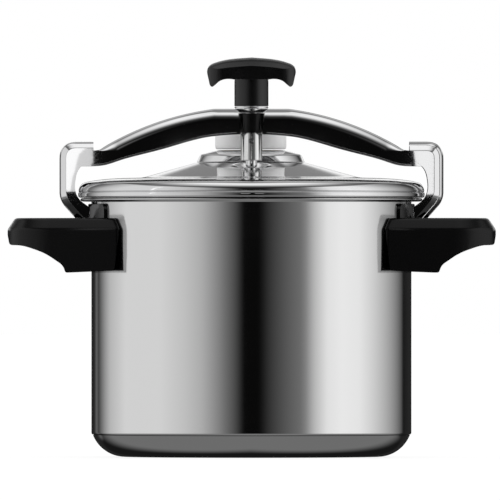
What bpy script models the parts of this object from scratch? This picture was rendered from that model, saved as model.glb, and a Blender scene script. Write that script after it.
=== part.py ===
"""A stovetop pressure canner with a screw yoke, modelled as separate pieces.

Metres, +Z up, +X through the right handle, the front faces -Y. The origin is at the
middle of the base, on the surface that the pot stands on.
"""

import math

import bmesh
import bpy
from mathutils import Matrix, Vector

# ---- driving dimensions, metres ----
GAP = 0.0003  # clearance between neighbouring pieces
ROUND = 56  # facets round the pot, lid and base
SMALL_ROUND = 24  # facets round the small turned pieces

POT_RADIUS = 0.112
WALL = 0.0012
CORNER_RADIUS = 0.024  # rounding between the wall and the bottom
CORNER_CENTRE = (POT_RADIUS - CORNER_RADIUS, CORNER_RADIUS)
CAP_TOP = 0.0153
POT_BOTTOM = 0.0057
RIM_BOTTOM = 0.1786
RIM_TOP = 0.1810
RIM_RADIUS = 0.1199

LID_SHEET = 0.0015
LID_RADIUS = 0.1213
SEAT_Z = 0.2014  # floor of the pocket that takes the plunger
SEAT_RADIUS = 0.0095
SEAT_RIM = 0.0140
PLATEAU_Z = 0.2063

VALVE_Y = 0.0515  # the valve sits behind the yoke
HUB_RADIUS = 0.0378
WEIGHT_RADIUS = 0.025
WEIGHT_TOP = 0.238

YOKE_HALF_WIDTH = 0.011
YOKE_SHEET = 0.0025
YOKE_BEND = 0.0090  # outer radius between the yoke's top and its flanges
YOKE_TOP = 0.2435
YOKE_ARC = 0.203  # radius of the arch's top
YOKE_FLAT = 0.026  # half length of the flat in the middle
YOKE_TOE = 0.1075  # where the arch meets the toe
YOKE_END = 0.125
YOKE_INSIDE = (YOKE_SHEET - YOKE_HALF_WIDTH, YOKE_HALF_WIDTH - YOKE_SHEET)

TUBE_RADIUS = 0.0075
TUBE_BOTTOM = 0.2073
SPINDLE_RADIUS = 0.0050
PLUNGER_RADIUS = 0.00415
PIN_Z = 0.221

KNOB_HALF = 0.0314
KNOB_TOP = 0.2795
KNOB_DEPTH = 0.0145
STEM_RADIUS = 0.0119
STEM_BOTTOM = 0.2453

HOOK_X = 0.1343  # outer face of a hook
HOOK_TOP = 0.2205
HOOK_HALF_WIDTH = 0.015
HOOK_SHEET = 0.0025
PLATE_SHEET = 0.0020
PLATE_OUTER = POT_RADIUS + GAP + PLATE_SHEET

HANDLE_TIP = 0.1707
HANDLE_TOP = 0.167
HANDLE_BOTTOM = 0.1288
HANDLE_SHOULDER = 0.159  # below this the sides are upright, above it they slope in to the top
HANDLE_LIP = 0.0922  # how far the saddle's ends reach round the pot
HANDLE_HALF_DEPTH = 0.0658
HANDLE_TAPER = 0.012  # how much nearer the middle each side is at the tip than at the pot
SCREW_X = 0.1213  # axis of the handle's screw

PARTS = "pressure_canner"
CUTTERS = "pressure_canner_cutters"

FINISHES = {  # colour, metallic, roughness
    "brushed_steel": ((0.74, 0.74, 0.74), 1.0, 0.26),
    "polished_steel": ((0.86, 0.86, 0.87), 1.0, 0.06),
    "spring_steel": ((0.55, 0.55, 0.56), 1.0, 0.30),
    "aluminium": ((0.78, 0.79, 0.80), 1.0, 0.45),
    "brass": ((0.78, 0.62, 0.32), 1.0, 0.25),
    "bakelite": ((0.012, 0.012, 0.013), 0.0, 0.32),
    "rubber": ((0.05, 0.05, 0.05), 0.0, 0.75),
}


def clear_scene():
    for piece in list(bpy.data.objects):
        bpy.data.objects.remove(piece, do_unlink=True)


def collection(name):
    group = bpy.data.collections.get(name)
    if group is None:
        group = bpy.data.collections.new(name)
        bpy.context.scene.collection.children.link(group)
    return group


def material(finish):
    made = bpy.data.materials.get(finish)
    if made is None:
        colour, metallic, roughness = FINISHES[finish]
        made = bpy.data.materials.new(finish)
        made.use_nodes = True
        shader = made.node_tree.nodes["Principled BSDF"]
        shader.inputs["Base Color"].default_value = (*colour, 1)
        shader.inputs["Metallic"].default_value = metallic
        shader.inputs["Roughness"].default_value = roughness
    return made


def add(name, mesh, finish):
    """A new object: a part with a finish, or a cutter where finish is None."""
    piece = bpy.data.objects.new(name, mesh)
    if finish is None:
        piece.hide_render = True
        piece.display_type = "WIRE"
        collection(CUTTERS).objects.link(piece)
    else:
        mesh.materials.append(material(finish))
        collection(PARTS).objects.link(piece)
    return piece


def bake(piece, finish):
    """The piece as its modifiers leave it, welded, in place of the original."""
    bpy.context.view_layer.update()
    depsgraph = bpy.context.evaluated_depsgraph_get()
    mesh = bpy.data.meshes.new_from_object(piece.evaluated_get(depsgraph))
    bm = bmesh.new()
    bm.from_mesh(mesh)
    bmesh.ops.remove_doubles(bm, verts=bm.verts, dist=0.00001)
    bm.to_mesh(mesh)
    bm.free()
    mesh.materials.clear()
    name, placed = piece.name, piece.matrix_world.copy()
    bpy.data.objects.remove(piece, do_unlink=True)
    fresh = add(name, mesh, finish)
    fresh.matrix_world = placed
    return fresh


def turned(name, profile, finish, facets=SMALL_ROUND, centre=(0, 0), ring=False):
    """A profile of (radius, z) turned about Z; a ring's profile closes on itself."""
    count = len(profile)
    edges = [(i, i + 1) for i in range(count - 1)]
    if ring:
        edges.append((count - 1, 0))
    mesh = bpy.data.meshes.new(name)
    mesh.from_pydata([(r, 0, z) for r, z in profile], edges, [])
    piece = add(name, mesh, finish)
    piece.location = (*centre, 0)
    screw = piece.modifiers.new("Turn", "SCREW")
    screw.steps = facets
    screw.render_steps = facets
    screw.use_merge_vertices = True
    screw.merge_threshold = 0.00001
    screw.use_smooth_shade = True
    return piece


def arc(centre, radius, first, last, steps):
    """Points on a circle in the profile's plane, angles in degrees."""
    angles = [math.radians(first + (last - first) * i / steps) for i in range(steps + 1)]
    return [(centre[0] + radius * math.cos(a), centre[1] + radius * math.sin(a)) for a in angles]


def rounded(corners, steps=4):
    """An outline through (across, up, radius) corners, each rounded to its radius."""
    line = []
    for i, (x, z, radius) in enumerate(corners):
        here = Vector((x, z))
        if radius == 0:
            line.append((x, z))
            continue
        back = (Vector(corners[i - 1][:2]) - here).normalized()
        ahead = (Vector(corners[(i + 1) % len(corners)][:2]) - here).normalized()
        half = back.angle(ahead) / 2
        centre = here + (back + ahead).normalized() * radius / math.sin(half)
        first = here + back * radius / math.tan(half) - centre
        last = here + ahead * radius / math.tan(half) - centre
        sweep = first.angle_signed(last)
        for step in range(steps + 1):
            spoke = first.copy()
            spoke.rotate(Matrix.Rotation(-sweep * step / steps, 2))
            line.append(tuple(centre + spoke))
    return line


def smooth(points, steps=4):
    """A smooth line through points (Catmull-Rom)."""
    ends = [points[0], *points, points[-1]]
    line = []
    for a, b, c, d in zip(ends, ends[1:], ends[2:], ends[3:]):
        for step in range(steps):
            t = step / steps
            line.append(tuple(
                0.5 * (2 * q + (r - p) * t + (2 * p - 5 * q + 4 * r - s) * t ** 2
                       + (3 * q - p - 3 * r + s) * t ** 3)
                for p, q, r, s in zip(a, b, c, d)
            ))
    return [*line, points[-1]]


def merge_flats(piece):
    """Join the triangles of each flat face into one."""
    bm = bmesh.new()
    bm.from_mesh(piece.data)
    bmesh.ops.dissolve_limit(bm, angle_limit=0.01, verts=bm.verts, edges=bm.edges)
    bmesh.ops.recalc_face_normals(bm, faces=bm.faces)
    bm.to_mesh(piece.data)
    bm.free()


def facet(piece):
    """Split every face into triangles, which later cuts keep closed."""
    bm = bmesh.new()
    bm.from_mesh(piece.data)
    bmesh.ops.triangulate(bm, faces=bm.faces)
    bm.to_mesh(piece.data)
    bm.free()


def slab(name, outline, low, high, finish, plan=False, side=1):
    """A flat outline given thickness: XZ from y=low to high, or XY (plan) from z=low to high."""
    curve = bpy.data.curves.new(name, "CURVE")
    curve.dimensions = "2D"
    curve.fill_mode = "BOTH"
    curve.extrude = (high - low) / 2
    spline = curve.splines.new("POLY")
    spline.points.add(len(outline) - 1)
    for point, (x, v) in zip(spline.points, outline):
        point.co = (side * x, v, 0, 1)
    spline.use_cyclic_u = True
    piece = bpy.data.objects.new(name, curve)
    collection(PARTS).objects.link(piece)
    middle = (high + low) / 2
    if plan:
        piece.location = (0, 0, middle)
    else:
        piece.location = (0, middle, 0)
        piece.rotation_euler = (math.pi / 2, 0, 0)
    flat = bake(piece, finish)
    flat.data.transform(flat.matrix_world)
    flat.matrix_world = Matrix.Identity(4)
    merge_flats(flat)
    return flat


def box(name, low, high, finish):
    bm = bmesh.new()
    bmesh.ops.create_cube(bm, size=1)
    middle = (Vector(low) + Vector(high)) / 2
    size = Vector(high) - Vector(low)
    for vert in bm.verts:
        vert.co = Vector(a * b + c for a, b, c in zip(vert.co, size, middle))
    mesh = bpy.data.meshes.new(name)
    bm.to_mesh(mesh)
    bm.free()
    return add(name, mesh, finish)


def rod(name, start, end, radius, finish, facets=12):
    """A plain cylinder between two points."""
    start, end = Vector(start), Vector(end)
    bm = bmesh.new()
    turn = (end - start).to_track_quat("Z", "Y").to_matrix().to_4x4()
    place = Matrix.Translation((start + end) / 2) @ turn
    bmesh.ops.create_cone(
        bm, cap_ends=True, segments=facets, radius1=radius, radius2=radius,
        depth=(end - start).length, matrix=place,
    )
    mesh = bpy.data.meshes.new(name)
    bm.to_mesh(mesh)
    bm.free()
    return add(name, mesh, finish)


def combine(piece, other, operation="DIFFERENCE"):
    step = piece.modifiers.new(other.name, "BOOLEAN")
    step.operation = operation
    step.object = other
    step.solver = "EXACT"


def round_edges(piece, radius, where=None, segments=2):
    """Round the sharp edges whose midpoint passes the test, or all of them."""
    bm = bmesh.new()
    bm.from_mesh(piece.data)
    bm.normal_update()
    edges = [
        e for e in bm.edges
        if e.calc_face_angle(0) > 0.6 and (where is None or where(e))
    ]
    bmesh.ops.bevel(
        bm, geom=edges, offset=radius, segments=segments, profile=0.5,
        affect="EDGES", clamp_overlap=True,
    )
    bm.to_mesh(piece.data)
    bm.free()


def pivot(name, place, pieces):
    """An empty on a joint's axis that carries the pieces that move with it."""
    empty = bpy.data.objects.new(name, None)
    empty.location = place
    collection(PARTS).objects.link(empty)
    for piece in pieces:
        piece.parent = empty
        piece.matrix_parent_inverse = Matrix.Translation(-Vector(place))
    return empty


# ---- pot ----


def pot_body():
    step = CORNER_RADIUS - 0.0014  # the corner steps in to take the base cap
    floor = POT_BOTTOM + WALL
    profile = [
        (0, floor), (0.1000, floor), (0.1045, 0.0101), (0.1073, 0.0143), (0.1097, 0.0172),
        (POT_RADIUS - WALL, CORNER_RADIUS), (POT_RADIUS - WALL, RIM_BOTTOM),
        (0.1114, RIM_BOTTOM + 0.0016), (0.1130, RIM_TOP), (0.1186, RIM_TOP),
        (RIM_RADIUS, RIM_TOP - 0.0007), (RIM_RADIUS - 0.0002, RIM_BOTTOM + 0.0006),
        (0.1184, RIM_BOTTOM), (POT_RADIUS, RIM_BOTTOM), (POT_RADIUS, CORNER_RADIUS),
        (0.1115, 0.0192), (0.1105, CAP_TOP + 0.00035), (0.1090, CAP_TOP + 0.00035),
        *arc(CORNER_CENTRE, step, -30, -44, 1),
        (0.1014, 0.0063), (0.0970, POT_BOTTOM), (0, POT_BOTTOM),
    ]
    return turned("pot_body", profile, "brushed_steel", ROUND)


def base_core_disc():
    top = POT_BOTTOM - GAP
    profile = [(0, top), (0.0985, top), (0.0962, 0.0032), (0.0890, 0.0012), (0, 0.0012)]
    return turned("base_core_disc", profile, "aluminium", ROUND)


def base_cap():
    sheet = 0.0009
    start = -math.degrees(math.asin((CORNER_RADIUS - CAP_TOP) / CORNER_RADIUS))
    inside = arc(CORNER_CENTRE, CORNER_RADIUS - sheet, start, -90, 5)
    outside = arc(CORNER_CENTRE, CORNER_RADIUS, start, -90, 5)
    profile = [(0, sheet), *reversed(inside), *outside, (0, 0)]
    return turned("base_cap", profile, "polished_steel", ROUND)


def mount_plate(name, side):
    """A curved plate on the pot wall that carries a hook."""
    inner = POT_RADIUS + GAP
    low, high = 0.134, 0.177
    ring = [(inner, high), (PLATE_OUTER, high), (PLATE_OUTER, low), (inner, low)]
    plate = turned(name, ring, "polished_steel", ROUND, ring=True)
    half = 0.0487
    near, far = (side * 0.09, -half, 0.12), (side * 0.13, half, 0.19)
    corners = [tuple(f(a, b) for a, b in zip(near, far)) for f in (min, max)]
    combine(plate, box(name + "_span", *corners, None), "INTERSECT")
    return plate


def hook_outline(inset):
    """Outer side of a hook's sheet, from its tip over the top and down to the foot."""
    top, outer = HOOK_TOP - inset, HOOK_X - inset
    return [
        (0.1106, top, 0), (outer, top, 0.010 - inset), (outer, 0.1795 + inset * 0.38, 0.008 - inset * 0.6),
    ]


def hook(name, side):
    outline = rounded([
        *hook_outline(0),
        (0.1172, 0.1602, 0.003), (0.1172, 0.1405, 0), (0.1250, 0.1405, 0), (0.1250, 0.1380, 0),
        (0.1120, 0.1380, 0), (0.1120, 0.1680, 0), (0.1102, 0.1723, 0), (0.1214, 0.1803, 0.006),
        (0.1240, 0.1880, 0.006), (0.1222, 0.2000, 0.006), (0.1176, 0.2050, 0.003), (0.1106, 0.2084, 0),
    ])
    piece = slab(name, outline, -HOOK_HALF_WIDTH, HOOK_HALF_WIDTH, "polished_steel", side=side)

    def outer_bend(edge):
        spot = sum((v.co for v in edge.verts), Vector()) / 2
        if HOOK_HALF_WIDTH - abs(spot.y) > 0.0001:
            return False
        diagonal = abs(spot.x) - 0.1172 - (spot.z - 0.1602) * 0.886
        outside = abs(spot.x) > HOOK_X - 0.003 or spot.z > HOOK_TOP - 0.003
        return spot.z > 0.165 and (outside or diagonal > -0.001)

    round_edges(piece, 0.0035, outer_bend)
    hollow = rounded([
        (0.0950, HOOK_TOP - HOOK_SHEET, 0), *hook_outline(HOOK_SHEET)[1:],
        (0.1159, 0.1625, 0), (0.0950, 0.1625, 0),
    ])
    inside = HOOK_HALF_WIDTH - HOOK_SHEET
    combine(piece, slab(name + "_hollow", hollow, -inside, inside, None, side=side))
    drum = [(0, 0.1773), (PLATE_OUTER + GAP, 0.1773), (PLATE_OUTER + GAP, 0.1300), (0, 0.1300)]
    combine(piece, turned(name + "_wall", drum, None, ROUND))
    x = side * SCREW_X
    combine(piece, rod(name + "_thread", (x, 0, 0.130), (x, 0, 0.150), 0.0028, None))
    return piece


def handle_plan(inset, lip_inset):
    """A handle seen from above: saddle ends at the pot, sides that narrow to the rounded tip."""
    lip, tip, half = HANDLE_LIP + lip_inset, HANDLE_TIP - inset, HANDLE_HALF_DEPTH - inset
    front = [(lip, -half, 0.0035), (tip, HANDLE_TAPER - half, 0.024 - inset)]
    return rounded(front + [(x, -y, reach) for x, y, reach in reversed(front)])


def handle_block(name, side):
    """Upright sides up to the shoulder, then sides that slope in to the level top."""
    low = handle_plan(0, 0)
    levels = [(low, 0.12), (low, HANDLE_SHOULDER), (handle_plan(0.0055, 0.0030), HANDLE_TOP)]
    bm = bmesh.new()
    rings = [[bm.verts.new((side * x, y, z)) for x, y in plan] for plan, z in levels]
    bm.faces.new(rings[0])
    bm.faces.new(rings[-1])
    for below, above in zip(rings, rings[1:]):
        for k in range(len(below)):
            bm.faces.new([below[k - 1], below[k], above[k], above[k - 1]])
    bmesh.ops.recalc_face_normals(bm, faces=bm.faces)
    mesh = bpy.data.meshes.new(name)
    bm.to_mesh(mesh)
    bm.free()
    return add(name, mesh, "bakelite")


def handle(name, side):
    piece = handle_block(name, side)
    outline = rounded([
        (0.0962, 0.1302, 0), (0.0926, HANDLE_SHOULDER, 0), (0.0926, 0.18, 0), (0.18, 0.18, 0),
        (0.18, 0.1580, 0), (0.1711, 0.1580, 0), (0.1693, 0.1482, 0.002), (0.1600, 0.1480, 0.010),
        (0.1446, 0.1426, 0.010), (0.1320, 0.1340, 0.003), (0.1302, HANDLE_BOTTOM, 0.002),
    ], 3)
    combine(piece, slab(name + "_side", outline, -0.08, 0.08, None, side=side), "INTERSECT")
    wall = POT_RADIUS + GAP + 0.0001
    drum = [(0, 0.2), (wall, 0.2), (wall, 0.1), (0, 0.1)]
    combine(piece, turned(name + "_saddle", drum, None, ROUND))
    ring = [(0.100, 0.2), (PLATE_OUTER + GAP, 0.2), (PLATE_OUTER + GAP, 0.1335), (0.100, 0.1335)]
    recess = turned(name + "_recess", ring, None, ROUND, ring=True)
    near, far = (side * 0.09, -0.0492, 0.10), (side * 0.13, 0.0492, 0.21)
    corners = [tuple(f(a, b) for a, b in zip(near, far)) for f in (min, max)]
    combine(recess, box(name + "_recess_span", *corners, None), "INTERSECT")
    combine(piece, recess)
    pocket = HOOK_HALF_WIDTH + 0.0005
    near, far = (side * 0.100, -pocket, 0.1365), (side * 0.1262, pocket, 0.1750)
    corners = [tuple(f(a, b) for a, b in zip(near, far)) for f in (min, max)]
    combine(piece, box(name + "_pocket", *corners, None))
    x = side * SCREW_X
    combine(piece, rod(name + "_bore", (x, 0, 0.125), (x, 0, 0.140), 0.0028, None))
    combine(piece, rod(name + "_counterbore", (x, 0, 0.120), (x, 0, 0.1330), 0.0054, None, 16))
    return piece


def handle_screw(name, side):
    """A pan-head screw, head down, that reaches up into the hook's lug."""
    profile = [
        (0, 0.1430), (0.0021, 0.1430), (0.0024, 0.1424), (0.0024, 0.1317), (0.0046, 0.1317),
        (0.0046, 0.1302), (0.0036, 0.1294), (0, 0.1294),
    ]
    piece = turned(name, profile, "spring_steel", 12, (side * SCREW_X, 0))
    x = side * SCREW_X
    slot = box(name + "_slot", (x - 0.0060, -0.0005, 0.1280), (x + 0.0060, 0.0005, 0.1303), None)
    combine(piece, slot)
    return piece


def handle_washer(name, side):
    ring = [(0.0027, 0.1327), (0.0050, 0.1327), (0.0050, 0.1320), (0.0027, 0.1320)]
    return turned(name, ring, "spring_steel", 16, (side * SCREW_X, 0), ring=True)


# ---- lid ----


def seat_height(x, y, z):
    """The lid's height with the plunger's pocket pressed in at the middle."""
    t = (math.hypot(x, y) - SEAT_RADIUS) / (SEAT_RIM - SEAT_RADIUS)
    t = min(max(t, 0), 1)
    t = t * t * (3 - 2 * t)
    return SEAT_Z + (z - SEAT_Z) * t


def lid_shell():
    """Rings of the lid: radius, height, and how far back each ring's centre is set."""
    foot, top = (0.0760, 0.1954, 0.0195), (0.0375, PLATEAU_Z, VALVE_Y)
    slope = [
        tuple(a + (b - a) * t for a, b in zip(foot, top))
        for t in (0, 0.30, 0.57, 0.68, 0.80, 0.92, 1)
    ]
    rings = [
        (0, PLATEAU_Z, VALVE_Y), (0.0200, PLATEAU_Z, VALVE_Y), *reversed(slope),
        (0.0906, 0.1950, 0.006), (0.1016, 0.1944, 0), (0.1085, 0.1935, 0), (0.1128, 0.1926, 0),
        (0.1166, 0.1912, 0), (0.1193, 0.1894, 0), (0.1207, 0.1872, 0), (LID_RADIUS, 0.1846, 0),
        (0.1211, 0.1825, 0), (0.1204, RIM_TOP + GAP, 0),
    ]
    profile = [(r, z) for r, z, _ in rings]
    skin = bake(turned("lid_shell", profile, "polished_steel", ROUND), "polished_steel")
    heights = sorted((z, -r, back) for r, z, back in rings)
    bm = bmesh.new()
    bm.from_mesh(skin.data)
    for vert in bm.verts:
        radius = math.hypot(vert.co.x, vert.co.y)
        ring = min(heights, key=lambda h: abs(h[0] - vert.co.z) + abs(-h[1] - radius))
        vert.co.y += ring[2]
    near = [f for f in bm.faces if f.calc_center_median().xy.length < 0.021]
    edges = list({e for f in near for e in f.edges})
    bmesh.ops.subdivide_edges(bm, edges=edges, cuts=1, use_grid_fill=True)
    for vert in bm.verts:
        vert.co.z = seat_height(*vert.co)
    bm.to_mesh(skin.data)
    bm.free()
    shell = skin.modifiers.new("Sheet", "SOLIDIFY")
    shell.thickness = LID_SHEET
    shell.offset = -1
    shell.use_even_offset = True
    hole = rod("stem_hole", (0, VALVE_Y, 0.195), (0, VALVE_Y, 0.215), 0.0045, None, SMALL_ROUND)
    combine(skin, hole)
    return skin


def lid_gasket():
    ring = [
        (0.1082, 0.1898), (0.1120, 0.1890), (0.1156, 0.1872), (0.1183, 0.1846),
        (0.1180, RIM_TOP + GAP), (0.1082, RIM_TOP + GAP),
    ]
    return turned("lid_gasket", ring, "rubber", ROUND, ring=True)


def valve_hub():
    base = PLATEAU_Z + GAP
    ring = [
        (0.0045, 0.2149), (0.0235, 0.2149), (0.0310, 0.2133), (0.0358, 0.2115), (HUB_RADIUS, base),
        (0.0360, base), (0.0343, 0.2104), (0.0300, 0.2120), (0.0230, 0.2134), (0.0045, 0.2134),
    ]
    return turned("valve_hub", ring, "polished_steel", 40, (0, VALVE_Y), ring=True)


def valve_stem():
    ring = [
        (0.0012, 0.2260), (0.0022, 0.2260), (0.0032, 0.2240), (0.0032, 0.2172), (0.0070, 0.2172),
        (0.0070, 0.2152), (0.0041, 0.2152), (0.0041, 0.1935), (0.0012, 0.1935),
    ]
    return turned("valve_stem", ring, "brass", SMALL_ROUND, (0, VALVE_Y), ring=True)


def valve_seal():
    ring = [(0.0045, 0.2045), (0.0105, 0.2045), (0.0105, 0.2025), (0.0045, 0.2025)]
    return turned("valve_seal", ring, "rubber", SMALL_ROUND, (0, VALVE_Y), ring=True)


def valve_nut():
    ring = [(0.0051, 0.2022), (0.0090, 0.2022), (0.0090, 0.1988), (0.0051, 0.1988)]
    return turned("valve_nut", ring, "brass", 6, (0, VALVE_Y), ring=True)


def valve_strainer():
    """A cup on the stem's lower end with holes round its wall."""
    profile = [
        (0, 0.1867), (0.0074, 0.1867), (0.0074, 0.1958), (0.0045, 0.1958), (0.0045, 0.1980),
        (0.0086, 0.1980), (0.0086, 0.1857), (0, 0.1857),
    ]
    cup = turned("valve_strainer", profile, "polished_steel", SMALL_ROUND, (0, VALVE_Y))
    for turn in range(4):
        angle = math.radians(45 * turn)
        reach = Vector((math.cos(angle), math.sin(angle), 0)) * 0.012
        middle = Vector((0, VALVE_Y, 0.1912))
        combine(cup, rod(f"strainer_hole_{turn}", middle - reach, middle + reach, 0.0013, None, 8))
    return cup


def valve_needle():
    profile = [
        (0, 0.2360), (0.0020, 0.2360), (0.0020, 0.2287), (0.0030, 0.2287), (0.0030, 0.2272),
        (0.0008, 0.2263), (0.0008, 0.2215), (0, 0.2210),
    ]
    return turned("valve_needle", profile, "brass", 16, (0, VALVE_Y))


def weight_core():
    ring = [
        (0.0024, 0.2364), (0.0205, 0.2364), (0.0233, 0.2332), (0.0233, 0.2196),
        (0.0218, 0.2178), (0.0085, 0.2178), (0.0085, 0.2290), (0.0024, 0.2290),
    ]
    return turned("weight_core", ring, "brass", 32, (0, VALVE_Y), ring=True)


def weight_cover():
    sheet = 0.0012
    r = WEIGHT_RADIUS
    profile = [
        (0, WEIGHT_TOP - sheet), (0.0215, WEIGHT_TOP - sheet), (r - sheet, 0.2340), (r - sheet, 0.2185),
        (0.0225, 0.2168), (0.0225, 0.2156), (0.0243, 0.2164), (r, 0.2185), (r, 0.2345),
        (0.0238, 0.2368), (0.0218, WEIGHT_TOP), (0, WEIGHT_TOP),
    ]
    profile.reverse()
    return turned("weight_cover", profile, "polished_steel", 32, (0, VALVE_Y))


# ---- yoke ----


def yoke_top(x, inset=0.0):
    """Height of the arch's top: a flat in the middle, then an arc."""
    sag = YOKE_ARC - math.sqrt(YOKE_ARC ** 2 - x ** 2)
    flat = YOKE_ARC - math.sqrt(YOKE_ARC ** 2 - YOKE_FLAT ** 2)
    return YOKE_TOP - inset - max(sag - flat, 0)


def crowned(piece, half_width, inset):
    """Rounds a yoke slab's top over to its sides, less and less towards the toes."""
    flat = YOKE_HALF_WIDTH - YOKE_BEND
    reach = half_width - flat
    bm = bmesh.new()
    bm.from_mesh(piece.data)
    for angle in (0, 30, 60):
        across = flat + reach * math.sin(math.radians(angle))
        for y in (-across, across):
            everything = [*bm.verts, *bm.edges, *bm.faces]
            bmesh.ops.bisect_plane(bm, geom=everything, plane_co=(0, y, 0), plane_no=(0, 1, 0))
    for vert in bm.verts:
        x, y = abs(vert.co.x), abs(vert.co.y)
        if x > YOKE_TOE or vert.co.z < yoke_top(x, inset) - 0.001:
            continue
        fade = min((YOKE_TOE - x) / 0.012, 1)
        drop = reach - math.sqrt(max(reach ** 2 - max(y - flat, 0) ** 2, 0))
        vert.co.z -= drop * fade
    bm.to_mesh(piece.data)
    bm.free()
    facet(piece)


def yoke_channel():
    stations = [YOKE_FLAT + (0.104 - YOKE_FLAT) * i / 9 for i in range(10)]
    crown = [(x, yoke_top(x)) for x in stations]
    toe = rounded([
        (YOKE_TOE, 0.2143, 0), (0.1130, 0.2143, 0.002), (0.1150, 0.2177, 0), (0.1240, 0.2177, 0),
        (YOKE_END, 0.2165, 0), (YOKE_END, 0.2062, 0), (0.1215, 0.2033, 0),
    ], 2)
    under = smooth([
        (0.112, 0.2033), (0.102, 0.2043), (0.087, 0.2090), (0.064, 0.2149), (0.032, 0.2236), (0, 0.2262),
    ])
    right = [*crown, *toe[:-1], (0.1215, 0.2033), *under]
    left = [(-x, z) for x, z in reversed(right[:-1])]
    piece = slab("yoke_channel", right + left, -YOKE_HALF_WIDTH, YOKE_HALF_WIDTH, "polished_steel")
    crowned(piece, YOKE_HALF_WIDTH, 0)
    inner = [(x, yoke_top(x, YOKE_SHEET)) for x in stations]
    half = [*inner, (0.1080, 0.2115), (0.1110, 0.2112), (0.1110, 0.1900)]
    hollow = slab("yoke_hollow", half + [(-x, z) for x, z in reversed(half)], *YOKE_INSIDE, None)
    crowned(hollow, YOKE_HALF_WIDTH - YOKE_SHEET, YOKE_SHEET)
    combine(piece, hollow)
    piece = bake(piece, "polished_steel")
    facet(piece)
    notch = [(-0.0103, 0.2409), (0.0103, 0.2409), (0.0085, 0.2220), (-0.0085, 0.2220)]
    combine(piece, slab("yoke_notch", notch, -0.02, 0.02, None))
    combine(piece, rod("yoke_hole", (0, 0, 0.235), (0, 0, 0.250), 0.0070, None, SMALL_ROUND))
    return piece


def yoke_tube():
    """The guide tube: threaded bore above, plain lip at the bottom that guides the plunger."""
    bore, lip = SPINDLE_RADIUS + GAP, PLUNGER_RADIUS + 0.00035
    ring = [
        (bore, 0.2433), (0.0066, 0.2433), (0.0066, 0.2263), (TUBE_RADIUS, 0.2263),
        (TUBE_RADIUS, TUBE_BOTTOM), (lip, TUBE_BOTTOM), (lip, 0.2095), (bore, 0.2095),
    ]
    piece = turned("yoke_tube", ring, "polished_steel", SMALL_ROUND, ring=True)
    combine(piece, rod("pin_window", (0, -0.009, PIN_Z), (0, -0.003, PIN_Z), 0.0021, None))
    return piece


def tube_shroud():
    ring = [(0.0070, 0.2404), (0.0098, 0.2404), (0.00815, 0.2266), (0.0070, 0.2266)]
    return turned("tube_shroud", ring, "bakelite", SMALL_ROUND, ring=True)


# ---- screw and knob ----


def spindle():
    """A hollow screw: closed at the top, bored from below for the spring and plunger."""
    top = 0.2580
    profile = [
        (0, top), (SPINDLE_RADIUS, top), (SPINDLE_RADIUS, 0.2117), (0.0031, 0.2117),
        (0.0031, 0.2400), (0, 0.2400),
    ]
    piece = turned("spindle", profile, "spring_steel")
    combine(piece, rod("spindle_pin_hole", (0, -0.008, PIN_Z), (0, 0.008, PIN_Z), 0.0013, None))
    return piece


def retaining_pin():
    return rod("retaining_pin", (0, -0.0047, PIN_Z), (0, 0.0047, PIN_Z), 0.0010, "spring_steel")


def plunger():
    profile = [
        (0, 0.2245), (0.0026, 0.2245), (0.0026, 0.2102), (PLUNGER_RADIUS, 0.2102),
        (PLUNGER_RADIUS, 0.2036), (0.0030, 0.2022), (0, 0.2017),
    ]
    piece = turned("plunger", profile, "polished_steel")
    slot = box("plunger_slot", (-0.0013, -0.005, 0.2184), (0.0013, 0.005, 0.2223), None)
    combine(piece, slot)
    return piece


def plunger_spring():
    turns, per_turn, radius, wire = 6, 8, 0.0024, 0.00035
    low, high = 0.2252, 0.2393
    curve = bpy.data.curves.new("plunger_spring", "CURVE")
    curve.dimensions = "3D"
    curve.bevel_depth = wire
    curve.bevel_resolution = 2
    curve.use_fill_caps = True
    spline = curve.splines.new("POLY")
    spline.points.add(turns * per_turn)
    for i, point in enumerate(spline.points):
        angle = 2 * math.pi * i / per_turn
        height = low + (high - low) * i / (turns * per_turn)
        point.co = (radius * math.cos(angle), radius * math.sin(angle), height, 1)
    piece = bpy.data.objects.new("plunger_spring", curve)
    collection(PARTS).objects.link(piece)
    return bake(piece, "spring_steel")


def knob_washer():
    bottom = YOKE_TOP + GAP
    ring = [(0.0054, bottom + 0.0012), (0.01175, bottom + 0.0012), (0.01175, bottom), (0.0054, bottom)]
    return turned("knob_washer", ring, "polished_steel", SMALL_ROUND, ring=True)


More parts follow.
